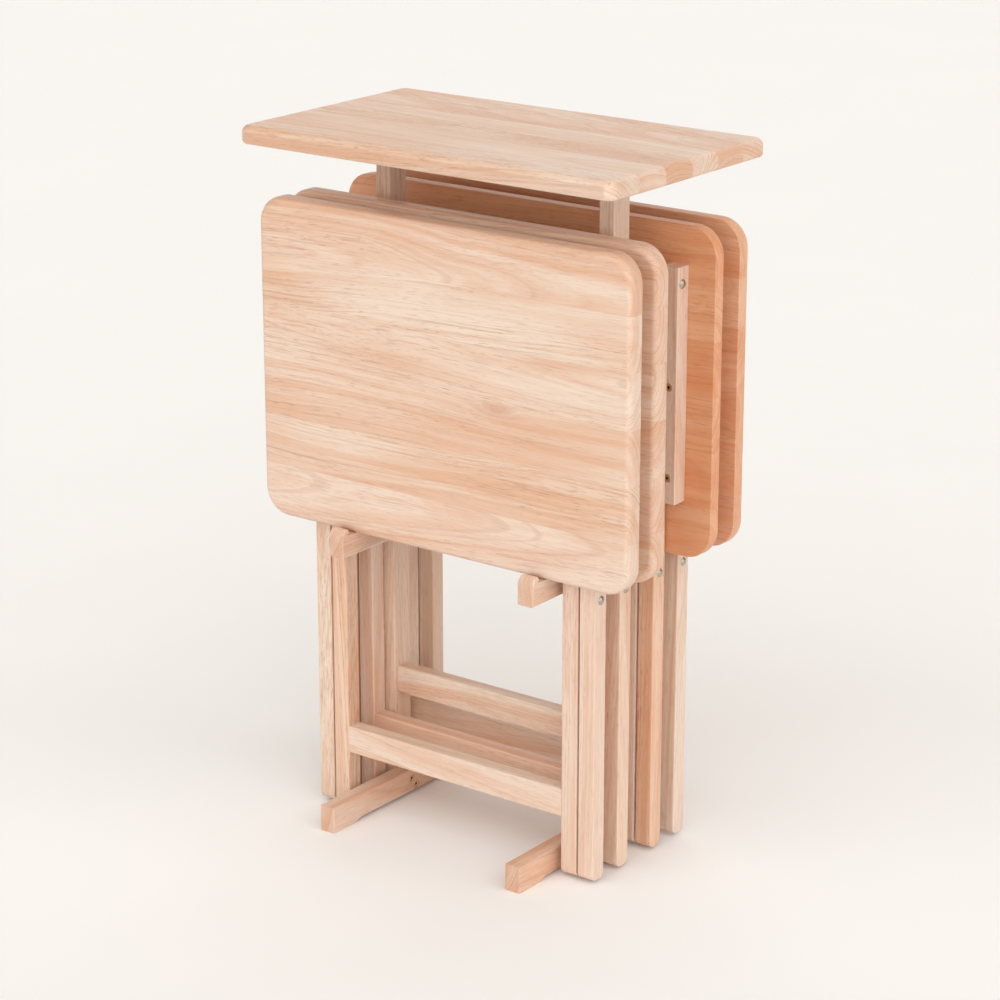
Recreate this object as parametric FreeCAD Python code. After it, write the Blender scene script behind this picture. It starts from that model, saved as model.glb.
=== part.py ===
import FreeCAD, Part
import math
import os

V = FreeCAD.Vector

# Folding tray tables on a carrying stand. Four identical folding tables hang flat on the
# stand's two notched arms, two facing the front (-Y) and two facing the back (+Y).
# Origin: floor level, under the middle of the stand. X runs across the trays, Y from front
# to back, Z up. All sizes in millimetres.

# ---- stand ----
BOARD_X, BOARD_Y, BOARD_T = 478.0, 278.0, 20.0
BOARD_TOP = 772.0
BOARD_CORNER_R = 12.0
BOARD_EDGE_R = 8.0
BOARD_UNDER_R = 4.0
POST_IN, POST_OUT = 136.0, 155.0        # inner and outer faces of each post, from the middle
POST_DEPTH = 28.0
POST_FOOT_Z = 4.0
ARM_IN, ARM_OUT = 116.0, 136.0
ARM_HALF = 125.0
ARM_BOTTOM, ARM_TOP = 312.5, 343.5
ARM_NOSE_R = 9.0
FOOT_IN, FOOT_OUT = 117.0, 136.0
FOOT_HALF = 147.0
FOOT_H = 30.0
FOOT_RELIEF = 4.0
FOOT_PAD_END, FOOT_RELIEF_START = 113.0, 99.0
RUNG_BOTTOM, RUNG_TOP = 118.0, 150.0
RUNG_T = 17.0
OUTER_NOTCH = (86.0, 115.0)             # notch in the arm for an outer table, from the middle
INNER_NOTCH = (41.0, 76.0)
NOTCH_FLOOR = 337.1

# ---- one folding table, hanging ----
TRAY_X, TRAY_H, TRAY_T = 483.0, 355.0, 19.0
TRAY_BOTTOM = 337.5
TRAY_CORNER_R = 31.0
TRAY_EDGE_R = 7.0
OUTER_FACE = 107.0                      # plane of the top face of an outer table's tray
INNER_FACE = 62.0
PIVOT_Z = 634.0                         # tray hinge
CROSS_Z = 318.0                         # where the legs cross
LEG_W, LEG_D = 20.0, 20.0
LEG_FOOT_Z = 4.0
LEG_FOOT_R = 7.5
PIVOT_OFF = 12.0                        # tray underside to pivot axis
OUTER_LEG_IN = 167.0
INNER_LEG_IN = 145.0
BATTEN_IN, BATTEN_OUT, BATTEN_D = 189.0, 209.0, 20.0
BATTEN_BOTTOM, BATTEN_TOP = 399.0, 652.0
BATTEN_SCREWS = (426.5, 524.5)          # heights of the screws up into the tray
TIE_BOTTOM, TIE_TOP, TIE_D = 68.5, 100.0, 18.0
RAIL_Z, RAIL_R = 614.0, 7.0
CATCH_IN, CATCH_OUT, CATCH_D = 70.0, 100.0, 24.0
CATCH_BOTTOM, CATCH_TOP = 366.0, 396.0
CATCH_GROOVE_R = 7.6
CATCH_SEAT = 30.0                       # tray underside to the rail's axis when open

# ---- fixings ----
BOLT_R, BOLT_CLEAR_R = 3.0, 3.05
HEAD_R, HEAD_H = 5.0, 2.6
WASHER_R, WASHER_T = 7.0, 1.6
SCREW_R, SCREW_HEAD_R, SCREW_HEAD_T = 1.8, 4.4, 2.4
SCREW_SINK = 0.6
SCREW_SOCKET_R = 1.5
DOWEL_R = 4.0
DOWEL_HALF = 12.0
HOLE_CLEAR = 0.05
EASE = 1.6                              # eased long edges of the bars

os.makedirs("parts", exist_ok=True)


def box(x0, x1, y0, y1, z0, z1):
    return Part.makeBox(x1 - x0, y1 - y0, z1 - z0, V(x0, y0, z0))


def cyl_x(r, x0, x1, y, z):
    """Cylinder along X from x0 to x1, whichever way round they are."""
    return Part.makeCylinder(r, abs(x1 - x0), V(min(x0, x1), y, z), V(1, 0, 0))


def edges_along(shape, axis):
    """Straight edges of a shape that run along one axis."""
    found = []
    for edge in shape.Edges:
        if isinstance(edge.Curve, Part.Line) and abs(abs(edge.Curve.Direction.dot(axis)) - 1) < 1e-6:
            found.append(edge)
    return found


def ease(shape, axis, r=EASE):
    return shape.makeFillet(r, edges_along(shape, axis))


def profile_yz(points_arcs, x0, x1):
    """Solid from an outline in the YZ plane: ("l", y, z) lines and ("a", ym, zm, y, z) arcs."""
    start = points_arcs[0]
    at = V(x0, start[1], start[2])
    edges = []
    for step in points_arcs[1:]:
        if step[0] == "l":
            to = V(x0, step[1], step[2])
            edges.append(Part.makeLine(at, to))
        else:
            to = V(x0, step[3], step[4])
            edges.append(Part.Arc(at, V(x0, step[1], step[2]), to).toShape())
        at = to
    face = Part.Face(Part.Wire(edges))
    return face.extrude(V(x1 - x0, 0, 0))


def panel(width, height, thick, corner_r, edge_r, under_r):
    """Flat panel in the XY plane, top face up at z = 0, rounded corners and edges."""
    body = box(-width / 2, width / 2, -height / 2, height / 2, -thick, 0)
    body = body.makeFillet(corner_r, edges_along(body, V(0, 0, 1)))
    rim_top = [e for e in body.Edges if abs(e.BoundBox.ZMin) < 1e-6 and abs(e.BoundBox.ZMax) < 1e-6]
    body = body.makeFillet(edge_r, rim_top)
    rim_low = [e for e in body.Edges
               if abs(e.BoundBox.ZMin + thick) < 1e-6 and abs(e.BoundBox.ZMax + thick) < 1e-6]
    return body.makeFillet(under_r, rim_low)


def dome_bolt(x, y, z, way, length):
    """Mushroom-headed bolt along X: head's flat at x, dome towards way (+1 or -1)."""
    ball_r = (HEAD_R ** 2 + HEAD_H ** 2) / (2 * HEAD_H)
    half = math.asin(HEAD_R / ball_r) / 2
    mid = V(HEAD_H - ball_r + ball_r * math.cos(half), ball_r * math.sin(half), 0)
    corners = [V(HEAD_H, 0, 0), V(-length, 0, 0), V(-length, BOLT_R, 0), V(0, BOLT_R, 0), V(0, HEAD_R, 0)]
    edges = [Part.makeLine(a, b) for a, b in zip(corners, corners[1:])]
    edges.append(Part.Arc(corners[-1], mid, corners[0]).toShape())
    bolt = Part.Face(Part.Wire(edges)).revolve(V(0, 0, 0), V(1, 0, 0), 360)
    if way < 0:
        bolt.rotate(V(0, 0, 0), V(0, 0, 1), 180)
    bolt.translate(V(x, y, z))
    return bolt


def ring_x(x0, x1, y, z):
    return cyl_x(WASHER_R, x0, x1, y, z).cut(cyl_x(BOLT_R, x0 - 1, x1 + 1, y, z))


def sunk_screw(point, way, length):
    """Countersunk wood screw; point is the middle of its hole's mouth, way points inwards."""
    mouth = point + way * SCREW_SINK
    head = Part.makeCone(SCREW_HEAD_R, SCREW_R, SCREW_HEAD_T, mouth, way)
    shank = Part.makeCylinder(SCREW_R, length - SCREW_SINK, mouth, way)
    socket = Part.makeCylinder(SCREW_SOCKET_R, SCREW_HEAD_T * 0.7, mouth, way)
    return head.fuse(shank).removeSplitter().cut(socket)


def screw_hole(point, way, length):
    mouth = point + way * SCREW_SINK
    well = Part.makeCylinder(SCREW_HEAD_R + 0.3, SCREW_SINK + 1, point - way, way)
    cone = Part.makeCone(SCREW_HEAD_R + 0.3, SCREW_R + HOLE_CLEAR, SCREW_HEAD_T + 0.3, mouth, way)
    shank = Part.makeCylinder(SCREW_R + HOLE_CLEAR, length + 0.5, point, way)
    return well.fuse(cone).fuse(shank)


def cut_all(shape, tools):
    for tool in tools:
        shape = shape.cut(tool)
    return shape


def save(node, shapes):
    solids = shapes if isinstance(shapes, list) else [shapes]
    shape = solids[0] if len(solids) == 1 else Part.makeCompound(solids)
    shape.exportStep("parts/" + node + ".step")


SIDES = (("left", -1), ("right", 1))


def between(side, a, b):
    """Lower and upper X of a span that runs from a to b away from the middle."""
    return (a, b) if side > 0 else (-b, -a)


# =====================================================================================
# Stand
# =====================================================================================
board_low = BOARD_TOP - BOARD_T
post_mid = (POST_IN + POST_OUT) / 2
board = panel(BOARD_X, BOARD_Y, BOARD_T, BOARD_CORNER_R, BOARD_EDGE_R, BOARD_UNDER_R)
board.translate(V(0, 0, BOARD_TOP))

dowels = []
for name, side in SIDES:
    for y in (-7.0, 7.0):
        dowels.append(Part.makeCylinder(DOWEL_R, 2 * DOWEL_HALF, V(side * post_mid, y, board_low - DOWEL_HALF)))
    for z in (126.0, 142.0):
        dowels.append(cyl_x(DOWEL_R, side * (POST_IN - DOWEL_HALF), side * (POST_IN + DOWEL_HALF), 0, z))
dowel_holes = []
for name, side in SIDES:
    for y in (-7.0, 7.0):
        dowel_holes.append(Part.makeCylinder(DOWEL_R + HOLE_CLEAR, 2 * DOWEL_HALF + 1,
                                             V(side * post_mid, y, board_low - DOWEL_HALF - 0.5)))
    for z in (126.0, 142.0):
        dowel_holes.append(cyl_x(DOWEL_R + HOLE_CLEAR, side * (POST_IN - DOWEL_HALF - 0.5),
                                 side * (POST_IN + DOWEL_HALF + 0.5), 0, z))
save("top_board", cut_all(board, dowel_holes))
save("stand_dowels", dowels)

rung = ease(box(-POST_IN, POST_IN, -RUNG_T / 2, RUNG_T / 2, RUNG_BOTTOM, RUNG_TOP), V(1, 0, 0), 2.0)
save("stand_stretcher", cut_all(rung, dowel_holes))

FOOT_SCREWS = ((-9.0, 19.0), (-1.5, 9.5))    # y and z of each screw
ARM_SCREWS = ((-6.0, 331.0), (6.0, 321.0))
SCREW_LEN = 31.0
stand_screws = []
for name, side in SIDES:
    inward = V(side, 0, 0)              # from the bar's inner face into the post
    holes = []
    for face, spots in ((FOOT_IN, FOOT_SCREWS), (ARM_IN, ARM_SCREWS)):
        for y, z in spots:
            mouth = V(side * face, y, z)
            stand_screws.append(sunk_screw(mouth, inward, SCREW_LEN))
            holes.append(screw_hole(mouth, inward, SCREW_LEN))

    x0, x1 = between(side, POST_IN, POST_OUT)
    post = ease(box(x0, x1, -POST_DEPTH / 2, POST_DEPTH / 2, POST_FOOT_Z, board_low), V(0, 0, 1))
    save("post_" + name, cut_all(post, dowel_holes + holes))

    # Arm: rounded nose at each end, and two notches a side for the trays' lower edges.
    x0, x1 = between(side, ARM_IN, ARM_OUT)
    h, r = ARM_HALF, ARM_NOSE_R
    k = r * (1 - math.sqrt(0.5))
    arm = profile_yz([("s", -h, ARM_BOTTOM), ("l", h, ARM_BOTTOM), ("l", h, ARM_TOP - r),
                      ("a", h - k, ARM_TOP - k, h - r, ARM_TOP), ("l", -h + r, ARM_TOP),
                      ("a", -h + k, ARM_TOP - k, -h, ARM_TOP - r), ("l", -h, ARM_BOTTOM)], x0, x1)
    arm = arm.makeFillet(2.0, edges_along(arm, V(0, 1, 0)) + edges_along(arm, V(0, 0, 1)))
    notches = []
    for near, far in (OUTER_NOTCH, INNER_NOTCH):
        for way in (-1, 1):
            a, b = sorted((way * near, way * far))
            notches.append(box(x0 - 1, x1 + 1, a, b, NOTCH_FLOOR, ARM_TOP + 1))
    save("arm_" + name, cut_all(arm, notches + holes))

    # Foot: a bar that stands on its two ends, relieved between them.
    x0, x1 = between(side, FOOT_IN, FOOT_OUT)
    f, s, e = FOOT_HALF, FOOT_RELIEF_START, FOOT_PAD_END
    foot = profile_yz([("s", -f, 0), ("l", -e, 0), ("l", -s, FOOT_RELIEF), ("l", s, FOOT_RELIEF),
                       ("l", e, 0), ("l", f, 0), ("l", f, FOOT_H), ("l", -f, FOOT_H), ("l", -f, 0)],
                      x0, x1)
    top_edges = [e2 for e2 in edges_along(foot, V(0, 1, 0)) if e2.BoundBox.ZMin > FOOT_H - 1]
    foot = foot.makeFillet(EASE, top_edges + edges_along(foot, V(0, 0, 1)))
    save("foot_" + name, cut_all(foot, holes))
save("stand_screws", stand_screws)


# =====================================================================================
# Folding tables. Each is built facing the front (-Y) with the top face of its tray in the
# plane y = -face, then the two back ones are turned half round about Z.
# =====================================================================================
def leg_bar(x0, x1, y0, y1, top_z):
    """Leg whose top end is a half round about top_z and whose foot has rounded corners."""
    mid, half = (y0 + y1) / 2, (y1 - y0) / 2
    r, z0 = LEG_FOOT_R, LEG_FOOT_Z
    k = r * (1 - math.sqrt(0.5))
    leg = profile_yz([("s", y0, z0 + r), ("a", y0 + k, z0 + k, y0 + r, z0), ("l", y1 - r, z0),
                      ("a", y1 - k, z0 + k, y1, z0 + r), ("l", y1, top_z),
                      ("a", mid, top_z + half, y0, top_z), ("l", y0, z0 + r)], x0, x1)
    return ease(leg, V(0, 0, 1))


def folding_table(face):
    """Dictionary of node stem to solids, for a table at the front of the stand."""
    under = -face + TRAY_T
    pivot_y = under + PIVOT_OFF
    y0, y1 = pivot_y - LEG_D / 2, pivot_y + LEG_D / 2
    parts = {}

    tray = panel(TRAY_X, TRAY_H, TRAY_T, TRAY_CORNER_R, TRAY_EDGE_R, 1.0)
    tray.rotate(V(0, 0, 0), V(1, 0, 0), 90)
    tray.translate(V(0, -face, TRAY_BOTTOM + TRAY_H / 2))

    screws, holes = [], []
    for name, side in SIDES:
        for z in BATTEN_SCREWS:
            mouth = V(side * (BATTEN_IN + BATTEN_OUT) / 2, under + BATTEN_D, z)
            screws.append(sunk_screw(mouth, V(0, -1, 0), BATTEN_D + 11))
            holes.append(screw_hole(mouth, V(0, -1, 0), BATTEN_D + 11))
        mouth = V(side * (CATCH_IN + CATCH_OUT) / 2, under + CATCH_D, CATCH_TOP - 6)
        screws.append(sunk_screw(mouth, V(0, -1, 0), CATCH_D + 11))
        holes.append(screw_hole(mouth, V(0, -1, 0), CATCH_D + 11))
    parts["tray_top"] = [cut_all(tray, holes)]
    parts["tray_screws"] = screws

    catches, bolts = [], []
    for name, side in SIDES:
        x0, x1 = between(side, BATTEN_IN, BATTEN_OUT)
        batten = box(x0, x1, under, under + BATTEN_D, BATTEN_BOTTOM, BATTEN_TOP)
        batten = ease(batten, V(0, 0, 1), 1.2)
        running = cyl_x(BOLT_CLEAR_R, x0 - 1, x1 + 1, pivot_y, PIVOT_Z)
        parts["batten_" + name] = [cut_all(batten, holes + [running])]

        x0, x1 = between(side, CATCH_IN, CATCH_OUT)
        catch = box(x0, x1, under, under + CATCH_D, CATCH_BOTTOM, CATCH_TOP)
        seat_z = (CATCH_BOTTOM + CATCH_TOP) / 2 - 3
        groove = cyl_x(CATCH_GROOVE_R, x0 - 1, x1 + 1, under + CATCH_SEAT, seat_z)
        catches.append(cut_all(catch, holes + [groove]))

        # Outer leg, hinged to the batten at its top and bolted to the inner leg half way down.
        out_face = OUTER_LEG_IN + LEG_W
        x0, x1 = between(side, OUTER_LEG_IN, out_face)
        leg = leg_bar(x0, x1, y0, y1, PIVOT_Z)
        socket = cyl_x(BOLT_R, side * (out_face + 1), side * (out_face - 15), pivot_y, PIVOT_Z)
        through = cyl_x(BOLT_R, side * (out_face + 1), side * (OUTER_LEG_IN - 1), pivot_y, CROSS_Z)
        parts["outer_leg_" + name] = [cut_all(leg, [socket, through])]

        # Pivot bolts turn in the batten and in the inner leg, and are fast in the outer leg.
        head_x = BATTEN_OUT + 0.3
        bolts.append(dome_bolt(side * head_x, pivot_y, PIVOT_Z, side, head_x - out_face + 15))
        bolts.append(ring_x(side * out_face, side * (out_face + WASHER_T), pivot_y, PIVOT_Z))
        inner_out = INNER_LEG_IN + LEG_W
        bolts.append(dome_bolt(side * out_face, pivot_y, CROSS_Z, side, out_face - INNER_LEG_IN - 3))
        bolts.append(ring_x(side * OUTER_LEG_IN, side * (OUTER_LEG_IN - WASHER_T), pivot_y, CROSS_Z))

        x0, x1 = between(side, INNER_LEG_IN, inner_out)
        leg = leg_bar(x0, x1, y0, y1, RAIL_Z)
        rail_hole = cyl_x(RAIL_R + HOLE_CLEAR, side * (INNER_LEG_IN - 1), side * (INNER_LEG_IN + 8),
                          pivot_y, RAIL_Z)
        running = cyl_x(BOLT_CLEAR_R, side * (inner_out + 1), side * (INNER_LEG_IN + 2.5),
                        pivot_y, CROSS_Z)
        parts["inner_leg_" + name] = [cut_all(leg, [rail_hole, running])]
    parts["catch_blocks"] = catches
    parts["pivot_bolts"] = bolts

    tie = box(-INNER_LEG_IN, INNER_LEG_IN, y0 + 1, y0 + 1 + TIE_D, TIE_BOTTOM, TIE_TOP)
    parts["inner_stretcher"] = [ease(tie, V(1, 0, 0), 2.0)]
    parts["inner_rail"] = [cyl_x(RAIL_R, -INNER_LEG_IN - 7.5, INNER_LEG_IN + 7.5, pivot_y, RAIL_Z)]
    return parts


SWAP = {"left": "right", "right": "left"}
TABLES = ((1, OUTER_FACE, False), (2, INNER_FACE, False), (3, INNER_FACE, True), (4, OUTER_FACE, True))
for number, face, turned in TABLES:
    for stem, solids in folding_table(face).items():
        if turned:
            for solid in solids:
                solid.rotate(V(0, 0, 0), V(0, 0, 1), 180)
            tail = stem.split("_")[-1]
            if tail in SWAP:
                stem = stem[:-len(tail)] + SWAP[tail]
        save(stem + "_" + str(number), solids)
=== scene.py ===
import math

import bpy
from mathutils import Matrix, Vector


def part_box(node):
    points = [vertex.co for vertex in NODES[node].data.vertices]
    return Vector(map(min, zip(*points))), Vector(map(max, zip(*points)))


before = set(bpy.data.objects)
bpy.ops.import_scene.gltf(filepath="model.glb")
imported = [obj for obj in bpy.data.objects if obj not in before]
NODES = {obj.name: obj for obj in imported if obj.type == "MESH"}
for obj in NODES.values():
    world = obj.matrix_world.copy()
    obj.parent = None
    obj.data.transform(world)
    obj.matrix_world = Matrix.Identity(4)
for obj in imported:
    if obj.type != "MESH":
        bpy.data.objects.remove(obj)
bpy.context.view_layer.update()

# Folding tray tables on a carrying stand: pale rubberwood under a satin lacquer, nickel-plated
# bolts and zinc screws. Every wooden part has its own direction of grain and its own board.


# ------------------------------------------------------------------------------------
# Node helpers
# ------------------------------------------------------------------------------------
class Graph:
    """A material's node tree with short calls for the nodes that the woods and metals use."""

    def __init__(self, name):
        self.material = bpy.data.materials.new(name)
        self.material.use_nodes = True
        self.tree = self.material.node_tree
        self.tree.nodes.clear()
        out = self.tree.nodes.new("ShaderNodeOutputMaterial")
        self.shader = self.tree.nodes.new("ShaderNodeBsdfPrincipled")
        self.tree.links.new(self.shader.outputs["BSDF"], out.inputs["Surface"])

    def feed(self, socket, value):
        if isinstance(value, bpy.types.NodeSocket):
            self.tree.links.new(value, socket)
        elif value is not None:
            socket.default_value = value

    def math(self, operation, a, b=None, c=None, clamp=False):
        node = self.tree.nodes.new("ShaderNodeMath")
        node.operation = operation
        node.use_clamp = clamp
        for socket, value in zip(node.inputs, (a, b, c)):
            self.feed(socket, value)
        return node.outputs["Value"]

    def squares(self, a, b):
        return self.math("ADD", self.math("MULTIPLY", a, a), self.math("MULTIPLY", b, b))

    def combine(self, x, y, z):
        node = self.tree.nodes.new("ShaderNodeCombineXYZ")
        for socket, value in zip(node.inputs, (x, y, z)):
            self.feed(socket, value)
        return node.outputs["Vector"]

    def separate(self, vector):
        node = self.tree.nodes.new("ShaderNodeSeparateXYZ")
        self.feed(node.inputs["Vector"], vector)
        return [node.outputs[axis] for axis in "XYZ"]

    def noise(self, vector, scale=1.0, detail=2.0, rough=0.5, distortion=0.0):
        node = self.tree.nodes.new("ShaderNodeTexNoise")
        self.feed(node.inputs["Vector"], vector)
        node.inputs["Scale"].default_value = scale
        node.inputs["Detail"].default_value = detail
        node.inputs["Roughness"].default_value = rough
        node.inputs["Distortion"].default_value = distortion
        return node.outputs["Fac"]

    def noise_1d(self, w, scale=1.0, detail=1.0, rough=0.5):
        node = self.tree.nodes.new("ShaderNodeTexNoise")
        node.noise_dimensions = "1D"
        self.feed(node.inputs["W"], w)
        node.inputs["Scale"].default_value = scale
        node.inputs["Detail"].default_value = detail
        node.inputs["Roughness"].default_value = rough
        return node.outputs["Fac"]

    def white(self, w):
        node = self.tree.nodes.new("ShaderNodeTexWhiteNoise")
        node.noise_dimensions = "1D"
        self.feed(node.inputs["W"], w)
        return self.separate(node.outputs["Color"])

    def remap(self, value, low, high, to_low=0.0, to_high=1.0, smooth=False):
        node = self.tree.nodes.new("ShaderNodeMapRange")
        node.interpolation_type = "SMOOTHSTEP" if smooth else "LINEAR"
        self.feed(node.inputs["Value"], value)
        limits = {"From Min": low, "From Max": high, "To Min": to_low, "To Max": to_high}
        for key, number in limits.items():
            node.inputs[key].default_value = number
        return node.outputs["Result"]

    def mix(self, factor, a, b, blend="MIX"):
        node = self.tree.nodes.new("ShaderNodeMix")
        node.data_type = "RGBA"
        node.blend_type = blend
        self.feed(node.inputs["Factor"], factor)
        self.feed(node.inputs["A"], a)
        self.feed(node.inputs["B"], b)
        return node.outputs["Result"]

    def bump(self, height, distance, strength, under=None):
        node = self.tree.nodes.new("ShaderNodeBump")
        node.inputs["Distance"].default_value = distance
        node.inputs["Strength"].default_value = strength
        self.feed(node.inputs["Height"], height)
        self.feed(node.inputs["Normal"], under)
        return node.outputs["Normal"]

    def position(self):
        return self.tree.nodes.new("ShaderNodeTexCoord").outputs["Object"]

    def object_normal(self):
        return self.tree.nodes.new("ShaderNodeTexCoord").outputs["Normal"]


def rgb(r, g, b):
    return (r, g, b, 1.0)


# Linear colours of lacquered rubberwood, from the palest early wood to the pores.
PALE = rgb(0.800, 0.655, 0.540)
MID = rgb(0.715, 0.440, 0.290)
DEEP = rgb(0.520, 0.265, 0.160)
PORE = rgb(0.310, 0.140, 0.085)
ROSY = rgb(0.770, 0.470, 0.360)
# A redder tint; on the recessed trays it also serves as painted shade.
AMBER_AND_SHADE_TINT = rgb(1.0, 0.66, 0.43)
# Painted shade for the dark inside of the screws' drive sockets.
SOCKET_PAINTED_SHADE = rgb(0.020, 0.013, 0.008)
AXES = {"X": 0, "Y": 1, "Z": 2}

# How the grain runs: lengths in metres, slopes as metres across for each metre along.
FIBRE_SHIFT = 7.0           # moves each stave to another place in the noise
WANDER_LONG, WANDER_SHORT = 2.2, 6.0
WANDER_SIDE, WANDER_BELOW = 0.034, 0.014
LEAN, RISE = 0.10, 0.15
PITH_SPREAD, PITH_DEPTH, PITH_NEAREST = 0.09, 0.060, 0.034
KNOT_LENGTH, KNOT_WIDTH, KNOT_LIFT = 0.026, 0.008, 0.010
GLUE_LINE = 0.00045
# Seeds for the two sets of random numbers of a stave.
SEED_A, SEED_B = 0.37, 91.73

# Figures drawn out along the fibres: cycles for each metre along and across, detail, roughness,
# and the range of the noise that counts.
FIGURES = {
    "cloud": (3.0, 15.0, 2.0, 0.5, 0.32, 0.70),
    "streak": (2.4, 85.0, 3.0, 0.6, 0.32, 0.72),
    "bundle": (2.0, 26.0, 1.0, 0.5, 0.42, 0.66),
    "strings": (5.0, 420.0, 2.0, 0.6, 0.50, 0.68),
    "lines": (24.0, 640.0, 2.0, 0.6, 0.50, 0.66),
    "pores": (60.0, 980.0, 1.0, 0.5, 0.61, 0.70),
}
# Share of each figure in the tone, which runs from PALE to MID.
CLOUD, BROAD, RINGS, STREAK = 0.85, 0.60, 0.30, 0.40
# Strength of each dark feature on a glued-up panel and on a bar.
STAVE_CHANGE = (0.55, 0.35)
STRINGS = (0.46, 0.50)
LINES = (0.16, 0.22)
PORES = (0.36, 0.46)
END_GRAIN = (0.12, 0.30)
LATEWOOD_FACE, LATEWOOD_CUT = 0.26, 0.62
KNOT_SHADE, ROSE, GLUE_SHADE = 0.42, 0.22, 0.25
# Lacquer: roughness of the plain face, and what streaks, pores and end grain add to it.
GLOSS, GLOSS_STREAK, GLOSS_PORES, GLOSS_CUT = 0.35, 0.07, 0.20, 0.13


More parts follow.
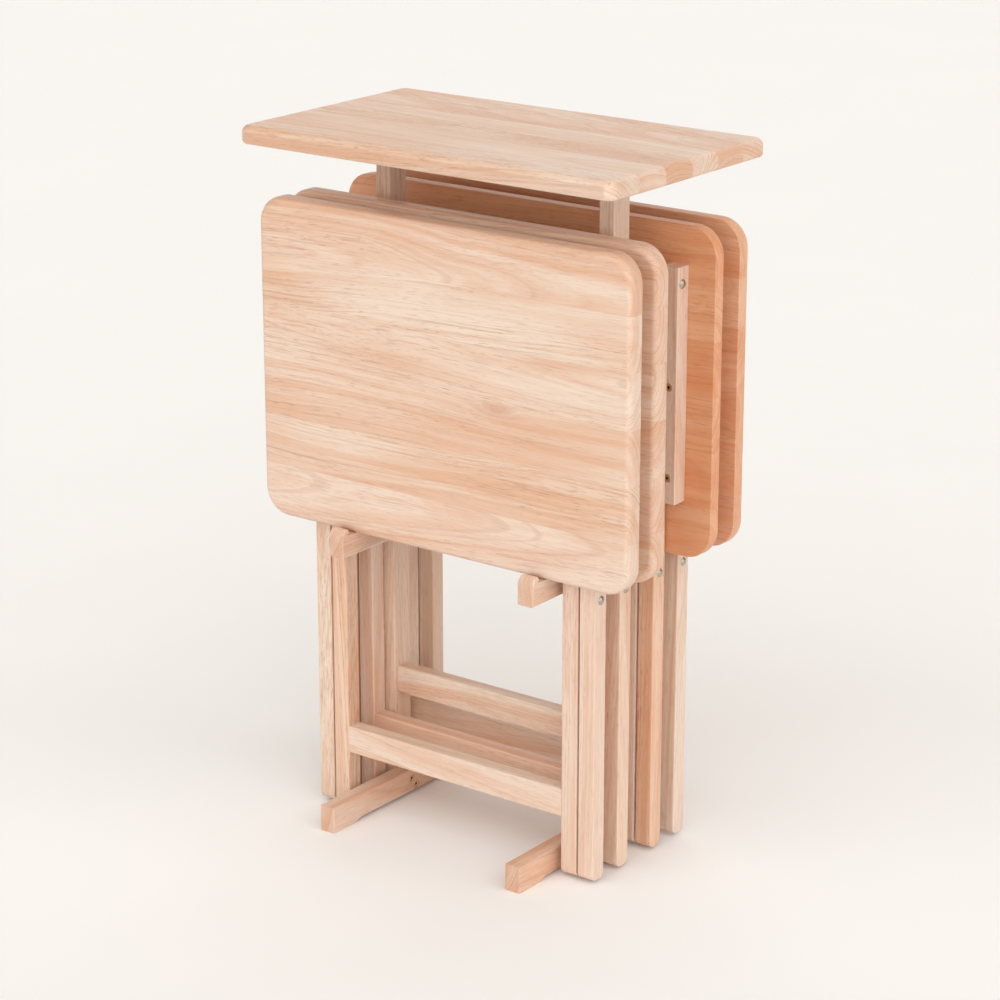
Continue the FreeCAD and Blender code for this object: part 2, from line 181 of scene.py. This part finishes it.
def wood(name, grain, cross, centre, seed, stave=None, origin=0.0, pale=0.5, amber=0.0, knot=None):
    """Solid wood whose fibres run along one axis. A glued-up panel has staves across another."""
    g = Graph(name)
    kind = 0 if stave else 1
    xyz = g.separate(g.position())
    third = next(a for a in "XYZ" if a not in (grain, cross))
    along, across, deep = (xyz[AXES[a]] for a in (grain, cross, third))
    deep = g.math("SUBTRACT", deep, centre[AXES[third]])

    # Which stave this is, and random numbers that belong to it.
    if stave:
        strip = g.math("DIVIDE", g.math("SUBTRACT", across, origin), stave)
        index = g.math("FLOOR", strip)
        local = g.math("MULTIPLY", g.math("SUBTRACT", g.math("FRACT", strip), 0.5), stave)
    else:
        index = g.math("MULTIPLY", across, 0.0)
        local = g.math("SUBTRACT", across, centre[AXES[cross]])
    r1, r2, r3 = g.white(g.math("ADD", index, seed + SEED_A))
    q1, q2, q3 = g.white(g.math("ADD", index, seed + SEED_B))

    # The pith runs a little askew, some way off the stave, so that the rings leave the face in
    # long tongues. The fibres wander slowly, and everything that follows them wanders too.
    fibre = g.math("ADD", along, g.math("MULTIPLY", r1, FIBRE_SHIFT))
    slow = g.combine(g.math("MULTIPLY", fibre, WANDER_LONG), g.math("MULTIPLY", across, WANDER_SHORT),
                     g.math("MULTIPLY", deep, WANDER_SHORT))
    wander = g.math("SUBTRACT", g.noise(slow, 1.0, 2.0, 0.5), 0.5)
    lean = g.math("MULTIPLY", g.math("SUBTRACT", q1, 0.5), LEAN)
    rise = g.math("MULTIPLY", g.math("SUBTRACT", r1, 0.5), RISE)
    side = g.math("ADD", local, g.math("ADD", g.math("MULTIPLY", wander, WANDER_SIDE),
                                       g.math("MULTIPLY", lean, along)))
    below = g.math("ADD", deep, g.math("ADD", g.math("MULTIPLY", wander, WANDER_BELOW),
                                       g.math("MULTIPLY", rise, along)))
    if knot:
        # The grain swirls round a small pin knot.
        far = g.squares(g.math("DIVIDE", g.math("SUBTRACT", along, knot[0]), KNOT_LENGTH),
                        g.math("DIVIDE", g.math("SUBTRACT", across, knot[1]), KNOT_WIDTH))
        near = g.math("EXPONENT", g.math("MULTIPLY", far, -1.0))
        below = g.math("ADD", below, g.math("MULTIPLY", near, KNOT_LIFT))
    pith_side = g.math("MULTIPLY", g.math("SUBTRACT", r2, 0.5), PITH_SPREAD)
    pith_below = g.math("ADD", g.math("MULTIPLY", r3, PITH_DEPTH), PITH_NEAREST)
    radius = g.math("SQRT", g.squares(g.math("SUBTRACT", side, pith_side),
                                      g.math("ADD", below, pith_below)))
    season = g.math("ADD", radius, g.math("MULTIPLY", r2, 5.0))
    broad = g.remap(g.noise_1d(season, 95.0, 1.0, 0.5), 0.30, 0.70)
    rings = g.remap(g.noise_1d(season, 290.0, 2.0, 0.55), 0.34, 0.68, smooth=True)
    latewood = g.remap(g.noise_1d(season, 560.0, 1.0, 0.5), 0.60, 0.73, smooth=True)

    # Clouds and streaks of colour, bundles of dark lines, fine vessel lines and open pores.
    def drawn(figure, smooth=True):
        length, width, detail, rough, low, high = FIGURES[figure]
        at = g.combine(g.math("MULTIPLY", fibre, length), g.math("MULTIPLY", side, width),
                       g.math("MULTIPLY", below, width))
        return g.remap(g.noise(at, 1.0, detail, rough), low, high, smooth=smooth)

    cloud = drawn("cloud", smooth=False)
    streak = drawn("streak", smooth=False)
    bundle = drawn("bundle")
    strings = g.math("MULTIPLY", drawn("strings"), g.remap(bundle, 0.0, 1.0, 0.25, 1.0))
    lines = drawn("lines")
    pores = g.math("MULTIPLY", drawn("pores"), g.remap(bundle, 0.0, 1.0, 0.45, 1.0))

    # Where the fibres are cut across, the rings show as dark arcs and the surface is duller.
    cut = g.separate(g.object_normal())[AXES[grain]]
    cut = g.remap(g.math("ABSOLUTE", cut), 0.45, 0.95, smooth=True)

    # Colour: stave to stave change, clouds, rings, streaks, lines, pores.
    change = g.math("MULTIPLY", g.math("SUBTRACT", q2, 0.5), STAVE_CHANGE[kind])
    # Paleness sets the base tone; on parts that stand in shade it is raised as painted light.
    tone = g.math("ADD", change, 1.0 - pale)
    for part, share in ((cloud, CLOUD), (broad, BROAD), (rings, RINGS), (streak, STREAK)):
        tone = g.math("ADD", tone, g.math("MULTIPLY", g.math("SUBTRACT", part, 0.5), share))
    tone = g.remap(tone, 0.0, 1.0)
    colour = g.mix(tone, PALE, MID)
    strings = g.math("MULTIPLY", strings, g.math("SUBTRACT", 1.0, cut))
    colour = g.mix(g.math("MULTIPLY", strings, STRINGS[kind]), colour, DEEP)
    late_shade = g.remap(cut, 0.0, 1.0, LATEWOOD_FACE, LATEWOOD_CUT)
    colour = g.mix(g.math("MULTIPLY", latewood, late_shade), colour, DEEP)
    colour = g.mix(g.math("MULTIPLY", lines, LINES[kind]), colour, DEEP)
    colour = g.mix(g.math("MULTIPLY", pores, PORES[kind]), colour, PORE)
    if knot:
        colour = g.mix(g.math("MULTIPLY", near, KNOT_SHADE), colour, DEEP)
    colour = g.mix(g.math("MULTIPLY", q3, ROSE), colour, ROSY)
    # Redder tone: on the recessed trays this is painted shade.
    if amber:
        colour = g.mix(amber, colour, AMBER_AND_SHADE_TINT, "MULTIPLY")
    if stave:
        edge = g.math("SUBTRACT", stave / 2, g.math("ABSOLUTE", local))
        glue = g.remap(edge, 0.0, GLUE_LINE, 1.0, 0.0, smooth=True)
        colour = g.mix(g.math("MULTIPLY", glue, GLUE_SHADE), colour, DEEP)

    # End grain takes up more lacquer and is darker.
    colour = g.mix(g.math("MULTIPLY", cut, END_GRAIN[kind]), colour, DEEP)
    g.feed(g.shader.inputs["Base Color"], colour)

    gloss = g.math("ADD", g.math("MULTIPLY", streak, GLOSS_STREAK), GLOSS)
    gloss = g.math("ADD", gloss, g.math("MULTIPLY", pores, GLOSS_PORES))
    gloss = g.math("ADD", gloss, g.math("MULTIPLY", cut, GLOSS_CUT))
    g.feed(g.shader.inputs["Roughness"], gloss)
    g.shader.inputs["IOR"].default_value = 1.46
    g.shader.inputs["Coat Weight"].default_value = 0.18
    g.shader.inputs["Coat Roughness"].default_value = 0.33

    relief = g.math("ADD", g.math("MULTIPLY", pores, -1.0), g.math("MULTIPLY", lines, -0.35))
    relief = g.math("ADD", relief, g.math("MULTIPLY", rings, 0.12))
    g.feed(g.shader.inputs["Normal"], g.bump(relief, 0.00012, 0.55))
    return g.material


def metal(name, colour, dull, rough, brushed, socket=None):
    """Plated steel with handling marks. A screw's drive socket (axis, head's plane, gap to the
    plane of the other heads, all in metres) is painted near black below the head's face as painted
    shade in the hole."""
    g = Graph(name)
    at = g.position()
    blotch = g.noise(at, 260.0, 3.0, 0.6)
    fine = g.noise(at, 2400.0, 2.0, 0.6)
    paint = g.mix(g.remap(blotch, 0.35, 0.75, 0.0, 0.6), colour, dull)
    if socket:
        # Painted shade: below each head's face the drive socket is painted near black.
        axis, plane, gap = socket
        depth = g.math("SUBTRACT", g.math("ABSOLUTE", g.separate(at)[AXES[axis]]), plane)
        first = g.math("MULTIPLY", g.math("GREATER_THAN", depth, 0.0003),
                       g.math("LESS_THAN", depth, gap - 0.0001))
        other = g.math("GREATER_THAN", depth, gap + 0.0003)
        paint = g.mix(g.math("MULTIPLY", g.math("ADD", first, other, clamp=True), 0.94), paint, SOCKET_PAINTED_SHADE)
    g.feed(g.shader.inputs["Base Color"], paint)
    g.shader.inputs["Metallic"].default_value = 1.0
    marks = g.remap(blotch, 0.3, 0.7, rough, rough + 0.10)
    g.feed(g.shader.inputs["Roughness"], g.math("ADD", marks, g.math("MULTIPLY", fine, brushed)))
    g.feed(g.shader.inputs["Normal"], g.bump(fine, 0.00002, 0.5))
    return g.material


# ------------------------------------------------------------------------------------
# Materials for the carried-over nodes
# ------------------------------------------------------------------------------------
NICKEL = metal("nickel_plate", rgb(0.50, 0.47, 0.42), rgb(0.30, 0.28, 0.25), 0.16, 0.05)
YELLOW = rgb(0.74, 0.54, 0.32)
YELLOW_DULL = rgb(0.52, 0.36, 0.20)
ZINC = (YELLOW, YELLOW_DULL, 0.38, 0.12)
# The heads of the stand's screws: distance from the middle to the nearer heads' plane, and how
# much further out the other heads lie. The trays' screws lie a gap apart too.
STAND_HEADS, STAND_GAP = 0.1166, 0.001
TRAY_GAP = 0.004

TRAY_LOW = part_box("tray_top_1")[0][2]
BOARD_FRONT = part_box("top_board")[0][1]
TRAY_STAVE = 0.059
BOARD_STAVE = 0.0463

# For each kind of node: grain axis, axis across the staves, stave width, first stave's edge,
# paleness.
WOODS = (
    ("top_board", "X", "Y", BOARD_STAVE, BOARD_FRONT, 0.46),
    ("tray_top", "X", "Z", TRAY_STAVE, TRAY_LOW, 0.55),
    ("batten", "Z", "Y", None, 0.0, 0.72),
    ("outer_leg", "Z", "Y", None, 0.0, 0.62),
    ("inner_leg", "Z", "Y", None, 0.0, 0.58),
    ("inner_stretcher", "X", "Z", None, 0.0, 0.52),
    ("inner_rail", "X", "Z", None, 0.0, 0.50),
    ("catch_blocks", "X", "Z", None, 0.0, 0.45),
    ("stand_stretcher", "X", "Z", None, 0.0, 0.65),
    ("stand_dowels", "Z", "Y", None, 0.0, 0.50),
    ("post", "Z", "Y", None, 0.0, 0.60),
    ("arm", "Y", "Z", None, 0.0, 0.50),
    ("foot", "Y", "Z", None, 0.0, 0.42),
)
# Parts set paler or redder than the rest of their kind: (paleness, redness). Some of these are painted
# light and painted shade, as marked.
STOCK_AND_PAINTED_LIGHT = {
    "tray_top_2": (0.55, 0.15),
    # Trays 3 and 4 lie recessed behind the front trays: their deeper, redder tone is painted shade.
    "tray_top_3": (0.48, 0.90),
    "tray_top_4": (0.50, 0.72),
    "foot_right": (0.42, 0.25),
    "outer_leg_right_2": (0.60, 0.20),
    "outer_leg_right_3": (0.55, 0.50),
    "outer_leg_left_2": (0.60, 0.25),
    "inner_leg_left_1": (0.60, 0.30),
    # This stretcher lies under the trays: its paler tone is painted light.
    "inner_stretcher_1": (1.10, 0.05),
    "inner_stretcher_2": (0.45, 0.25),
    # The batten and the posts lie in the shade of the trays and the board: their paler tone is painted
    # light.
    "batten_right_3": (1.05, 0.0),
    "post_right": (1.05, 0.08),
    "post_left": (0.90, 0.20),
}
# Boards with a chosen figure. The others take theirs from their place in the list of nodes.
SEEDS = {"tray_top_1": 711.0}
SEED_STEP = 13.0
# Where a tray shows a small knot: distance along the grain, and height.
KNOTS = {"tray_top_1": (0.075, 0.508)}


def dress(node, material):
    mesh = NODES[node].data
    mesh.materials.clear()
    mesh.materials.append(material)


for count, node in enumerate(sorted(NODES)):
    if node.startswith("pivot_bolts"):
        dress(node, NICKEL)
    elif node == "stand_screws":
        dress(node, metal("zinc_" + node, *ZINC, ("X", STAND_HEADS, STAND_GAP)))
    elif node.startswith("tray_screws"):
        plane = min(abs(corner[1]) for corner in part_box(node))
        dress(node, metal("zinc_" + node, *ZINC, ("Y", plane, TRAY_GAP)))
    else:
        row = next(row for row in WOODS if node.startswith(row[0]))
        grain, cross, stave, origin, pale = row[1:]
        # Paleness and redness, with the painted light and painted shade of some parts.
        pale, amber = STOCK_AND_PAINTED_LIGHT.get(node, (pale, 0.0))
        low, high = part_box(node)
        centre = [(a + b) / 2 for a, b in zip(low, high)]
        seed = SEEDS.get(node, SEED_STEP * (count + 1))
        dress(node, wood("wood_" + node, grain, cross, centre, seed, stave, origin, pale, amber,
                         KNOTS.get(node)))

# ------------------------------------------------------------------------------------
# Floor, light and camera
# ------------------------------------------------------------------------------------
FLOOR_SIZE = 60.0
bpy.ops.mesh.primitive_plane_add(size=FLOOR_SIZE, location=(0.0, 0.0, 0.0))
floor = bpy.context.object
floor.name = "floor"
paper = Graph("floor_paper")
mottle = paper.noise(paper.position(), 3.0, 3.0, 0.6)
white = paper.mix(paper.remap(mottle, 0.3, 0.7), rgb(0.95, 0.955, 0.96), rgb(0.965, 0.97, 0.975))
paper.feed(paper.shader.inputs["Base Color"], white)
paper.shader.inputs["Roughness"].default_value = 0.85
floor.data.materials.append(paper.material)

scene = bpy.context.scene
world = bpy.data.worlds.new("studio")
world.use_nodes = True
background = world.node_tree.nodes["Background"]
background.inputs["Color"].default_value = rgb(1.0, 0.84, 0.69)
background.inputs["Strength"].default_value = 0.33
scene.world = world
scene.view_settings.view_transform = "Standard"


def soft_sun(name, azimuth, elevation, strength, angle, colour):
    """A wide sun, angles in degrees: azimuth 0 shines from the front (-Y), 90 from +X."""
    light = bpy.data.lights.new(name, "SUN")
    light.energy = strength
    light.angle = math.radians(angle)
    light.color = colour
    lamp = bpy.data.objects.new(name, light)
    a, e = math.radians(azimuth), math.radians(elevation)
    way = Vector((math.sin(a) * math.cos(e), -math.cos(a) * math.cos(e), math.sin(e)))
    lamp.rotation_mode = "QUATERNION"
    lamp.rotation_quaternion = way.to_track_quat("Z", "Y")
    lamp.location = way * 4
    scene.collection.objects.link(lamp)


soft_sun("key", 76.0, 22.0, 1.64, 82.0, (0.99, 1.0, 1.0))
soft_sun("fill", 5.0, 18.0, 1.66, 90.0, (0.985, 1.0, 1.0))
soft_sun("top", 0.0, 80.0, 0.53, 70.0, (0.97, 1.0, 1.0))
soft_sun("back", 205.0, 25.0, 0.80, 80.0, (0.985, 1.0, 1.0))

CAMERA_AT = Vector((1.8668, -2.4833, 1.3859))
CAMERA_YAW, CAMERA_PITCH = math.radians(36.931), math.radians(17.545)
lens = bpy.data.cameras.new("view")
lens.sensor_width = 36.0
lens.lens = 109.48
lens.shift_y = -0.03
camera = bpy.data.objects.new("view", lens)
camera.location = CAMERA_AT
camera.rotation_euler = (math.pi / 2 - CAMERA_PITCH, 0.0, CAMERA_YAW)
scene.collection.objects.link(camera)
scene.camera = camera
